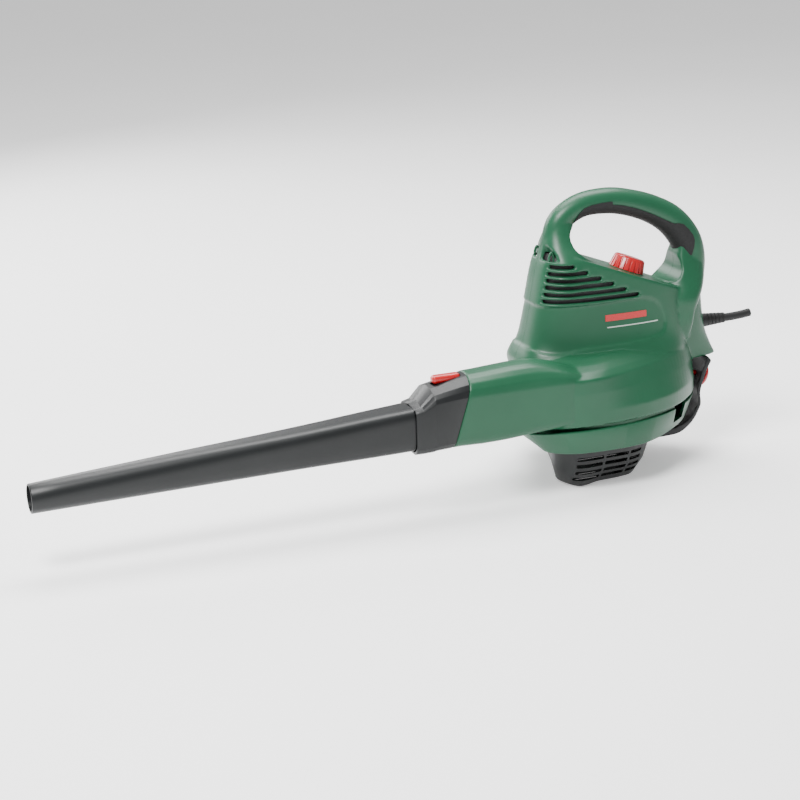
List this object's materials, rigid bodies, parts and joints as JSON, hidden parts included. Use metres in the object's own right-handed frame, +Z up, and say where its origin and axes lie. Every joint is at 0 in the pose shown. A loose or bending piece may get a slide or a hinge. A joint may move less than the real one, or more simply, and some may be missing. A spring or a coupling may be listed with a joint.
{
  "type": "leaf blower",
  "caption": "Corded garden leaf blower: upright motor tower with loop handle, side outlet duct, tapered blower tube and slotted intake guard.",
  "frame": {"origin": "middle of the flat underside of the intake guard, on the fan and motor axis", "axes": "+Z up along the fan and motor axis, -X towards the nozzle, +X to the rear where the mains lead leaves, -Y to the side that the outlet duct is on"},
  "size_m": [0.9147, 0.2175, 0.3362],
  "materials": {
    "green_plastic": "satin moulded",
    "black_plastic": "fine moulded grain",
    "soft_grip": "matt soft-touch",
    "red_plastic": "satin moulded",
    "cable_rubber": "matt",
    "fan_plastic": "moulded",
    "zinc_steel": "zinc plated",
    "laminations": "stacked sheet edges",
    "copper_winding": "varnished copper",
    "brass": "stamped",
    "carbon": "pressed",
    "resin": "moulded",
    "blue_film": "gloss",
    "brown_wire": "satin",
    "blue_wire": "satin"
  },
  "bodies": {
    "housing": {"housing_left": "green_plastic", "housing_right": "green_plastic", "fan_cover": "green_plastic", "outlet_sleeve": "black_plastic", "grip_insert": "soft_grip", "mains_cord": "cable_rubber", "strain_relief": "cable_rubber", "cord_clamp": "black_plastic", "clamp_screw_1": "zinc_steel", "clamp_screw_2": "zinc_steel", "lead_live": "brown_wire", "lead_neutral": "blue_wire", "motor_plate": "black_plastic", "lower_bearing": "zinc_steel", "upper_bearing": "zinc_steel", "motor_bracket": "black_plastic", "motor_screw_1": "zinc_steel", "motor_screw_2": "zinc_steel", "stator_core": "laminations", "field_coil_front": "copper_winding", "field_coil_rear": "copper_winding", "brush_holder_front": "brass", "brush_holder_rear": "brass", "brush_front": "carbon", "brush_rear": "carbon", "brush_spring_front": "zinc_steel", "brush_spring_rear": "zinc_steel", "speed_controller": "resin", "suppressor_capacitor": "blue_film", "shell_screw_1": "zinc_steel", "shell_screw_2": "zinc_steel", "shell_screw_3": "zinc_steel", "shell_screw_4": "zinc_steel", "shell_screw_5": "zinc_steel", "shell_screw_6": "zinc_steel"},
    "rotor": {"motor_shaft": "zinc_steel", "armature_core": "laminations", "armature_winding_lower": "copper_winding", "armature_winding_upper": "copper_winding", "commutator": "copper_winding", "impeller": "fan_plastic", "impeller_nut": "zinc_steel", "cooling_fan": "fan_plastic"},
    "dial": {"speed_dial": "red_plastic", "dial_spindle": "zinc_steel"},
    "tube": {"blower_tube": "black_plastic", "tube_collar": "black_plastic", "button_spring": "zinc_steel"},
    "button": {"release_button": "red_plastic"},
    "guard": {"intake_guard": "black_plastic"},
    "knob": {"guard_knob": "red_plastic"}
  },
  "joints": [
    {"name": "impeller_spin", "type": "hinge", "parent": "housing", "child": "rotor", "pos_m": [0, 0, 0.1], "axis": [0, 0, 1], "continuous": true},
    {"name": "speed_dial_turn", "type": "hinge", "parent": "housing", "child": "dial", "pos_m": [0.026, 0, 0.23452], "axis": [0.3584, 0, 0.9336], "range_deg": [0, 270]},
    {"name": "tube_slide", "type": "slide", "parent": "housing", "child": "tube", "axis": [-1, 0, 0], "range_m": [0, 0.07]},
    {"name": "release_button_press", "type": "slide", "parent": "tube", "child": "button", "axis": [0, 0, -1], "range_m": [0, 0.003], "stiffness_N_per_m": 700, "springref_m": -0.001, "deforming": ["button_spring"]},
    {"name": "guard_swing", "type": "hinge", "parent": "housing", "child": "guard", "pos_m": [-0.1045, -0.055, 0.048], "axis": [0, 1, 0], "range_deg": [0, 50]},
    {"name": "guard_knob_turn", "type": "hinge", "parent": "guard", "child": "knob", "pos_m": [0.1235, 0, 0.093], "axis": [0.9336, 0, -0.3584], "range_deg": [0, 90]}
  ]
}
